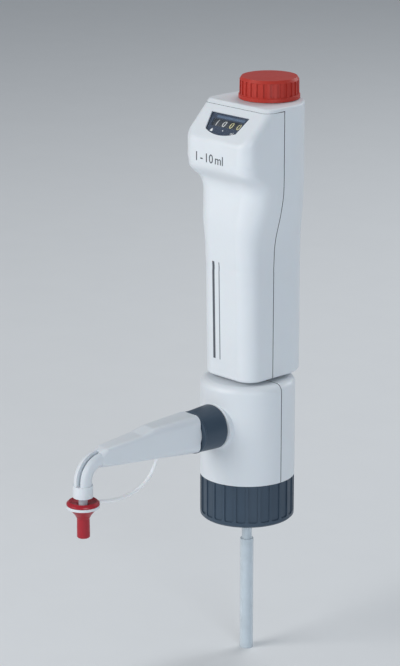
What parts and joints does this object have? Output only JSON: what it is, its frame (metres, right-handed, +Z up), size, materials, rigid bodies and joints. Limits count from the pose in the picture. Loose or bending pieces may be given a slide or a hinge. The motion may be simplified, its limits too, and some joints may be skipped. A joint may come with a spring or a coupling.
{
  "type": "bottle-top burette",
  "caption": "Bottle-top burette dispenser with a screw collar, lift housing, digital volume counter, discharge arm and tethered cap.",
  "frame": {"origin": "centre of the threaded collar's lower rim, on the axis of the bottle's neck", "axes": "+Z up along the pump's axis; -Y towards the display and the discharge nozzle; +X to the user's right when facing the display from -Y"},
  "size_m": [0.0554, 0.1718, 0.3442],
  "materials": {
    "white_plastic": "smooth moulded, slightly satin",
    "collar_grey": "fine satin moulding",
    "knob_red": "smooth moulded",
    "cap_red": "smooth moulded",
    "window_dark": "satin",
    "lens_clear": "polished",
    "glass": "polished",
    "ptfe": "waxy translucent",
    "tube_clear": "waxy clear hose",
    "ceramic": "polished ceramic",
    "steel": "turned",
    "black_plastic": "moulded",
    "brass": "machined",
    "gear_plastic": "moulded"
  },
  "bodies": {
    "neck_mount": {"thread_collar": "collar_grey", "neck_seal": "ptfe"},
    "valve_block": {"block_front_shell": "white_plastic", "block_rear_shell": "white_plastic", "block_screws": "steel", "valve_core": "ptfe", "filling_valve": "ptfe", "filling_tube_upper": "tube_clear", "glass_cylinder": "glass", "protective_sleeve": "white_plastic", "sleeve_guide": "white_plastic", "stop_rod": "steel", "vent_plug": "black_plastic", "discharge_port": "ptfe"},
    "filling_valve_ball": {"filling_ball": "ceramic"},
    "discharge_valve_ball": {"discharge_ball": "ceramic"},
    "sliding_filling_tube": {"filling_tube_lower": "tube_clear"},
    "discharge_unit": {"discharge_arm": "white_plastic", "discharge_tube": "tube_clear", "strap_anchor": "white_plastic", "cap_strap": "white_plastic"},
    "union_nut_body": {"union_nut": "collar_grey"},
    "cap": {"closure_cap": "cap_red", "strap_ring": "white_plastic"},
    "housing": {"housing_front_shell": "white_plastic", "housing_rear_shell": "white_plastic", "housing_screws": "steel", "window_mask": "window_dark", "window_lens": "lens_clear", "piston_rod": "steel", "piston": "ptfe", "piston_seals": "ptfe", "rod_bridge": "black_plastic", "rod_nut": "steel", "top_bush": "black_plastic", "counter_frame": "steel"},
    "volume_drive": {"volume_knob": "knob_red", "volume_spindle": "steel", "crown_gear": "gear_plastic"},
    "volume_stop": {"stop_nut": "brass"},
    "cross_drive": {"cross_shaft": "brass"},
    "idler": {"idler_gear": "gear_plastic"},
    "hundredths": {"counter_axle": "brass", "hundredths_wheel": "black_plastic"},
    "tenths": {"tenths_wheel": "black_plastic"},
    "ones": {"ones_wheel": "black_plastic"},
    "tens": {"tens_wheel": "black_plastic"}
  },
  "joints": [
    {"name": "block_swivel", "type": "hinge", "parent": "neck_mount", "child": "valve_block", "pos_m": [0, 0, 0.0255], "axis": [0, 0, 1], "continuous": true},
    {"name": "housing_lift", "type": "slide", "parent": "valve_block", "child": "housing", "axis": [0, 0, 1], "range_m": [0, 0.06]},
    {"name": "volume_knob_turn", "type": "hinge", "parent": "housing", "child": "volume_drive", "pos_m": [0, 0.0163, 0.25], "axis": [0, 0, 1], "range_deg": [-6480, 0]},
    {"name": "stop_nut_travel", "type": "slide", "parent": "housing", "child": "volume_stop", "axis": [0, 0, 1], "range_m": [0, 0.0541]},
    {"name": "cross_shaft_turn", "type": "hinge", "parent": "housing", "child": "cross_drive", "pos_m": [0.0145, 0.0163, 0.2356], "axis": [1, 0, 0], "range_deg": [0, 32401]},
    {"name": "idler_turn", "type": "hinge", "parent": "housing", "child": "idler", "pos_m": [0.0182, 0.00328, 0.22946], "axis": [1, 0, 0], "range_deg": [-16201, 0]},
    {"name": "hundredths_turn", "type": "hinge", "parent": "housing", "child": "hundredths", "pos_m": [0.0087, -0.0111, 0.2303], "axis": [1, 0, 0], "range_deg": [0, 32401]},
    {"name": "tenths_turn", "type": "hinge", "parent": "housing", "child": "tenths", "pos_m": [0.0029, -0.0111, 0.2303], "axis": [1, 0, 0], "range_deg": [0, 3241]},
    {"name": "ones_turn", "type": "hinge", "parent": "housing", "child": "ones", "pos_m": [-0.0029, -0.0111, 0.2303], "axis": [1, 0, 0], "range_deg": [0, 325]},
    {"name": "tens_turn", "type": "hinge", "parent": "housing", "child": "tens", "pos_m": [-0.0087, -0.0111, 0.2303], "axis": [1, 0, 0], "range_deg": [0, 33]},
    {"name": "discharge_unit_release", "type": "slide", "parent": "valve_block", "child": "discharge_unit", "axis": [0, -1, 0], "range_m": [0, 0.012]},
    {"name": "union_nut_turn", "type": "hinge", "parent": "discharge_unit", "child": "union_nut_body", "pos_m": [0, -0.036, 0.06], "axis": [0, -1, 0], "range_deg": [-1441, 0]},
    {"name": "cap_pull", "type": "slide", "parent": "discharge_unit", "child": "cap", "axis": [0, 0, -1], "range_m": [0, 0.012], "deforming": ["cap_strap"]},
    {"name": "filling_tube_extend", "type": "slide", "parent": "valve_block", "child": "sliding_filling_tube", "axis": [0, 0, -1], "range_m": [0, 0.04]},
    {"name": "filling_ball_lift", "type": "slide", "parent": "valve_block", "child": "filling_valve_ball", "axis": [0, 0, 1], "range_m": [0, 0.0015]},
    {"name": "discharge_ball_lift", "type": "slide", "parent": "valve_block", "child": "discharge_valve_ball", "axis": [0, -1, 0], "range_m": [0, 0.0015]}
  ],
  "couplings": [
    {"joint": "stop_nut_travel", "follows": "volume_knob_turn", "m_per_rad": -0.00047746},
    {"joint": "cross_shaft_turn", "follows": "volume_knob_turn", "ratio": -5},
    {"joint": "idler_turn", "follows": "volume_knob_turn", "ratio": 2.5},
    {"joint": "hundredths_turn", "follows": "volume_knob_turn", "ratio": -5},
    {"joint": "tenths_turn", "follows": "volume_knob_turn", "ratio": -0.5},
    {"joint": "ones_turn", "follows": "volume_knob_turn", "ratio": -0.05},
    {"joint": "tens_turn", "follows": "volume_knob_turn", "ratio": -0.005},
    {"joint": "union_nut_turn", "follows": "discharge_unit_release", "rad_per_m": -2094.4}
  ]
}
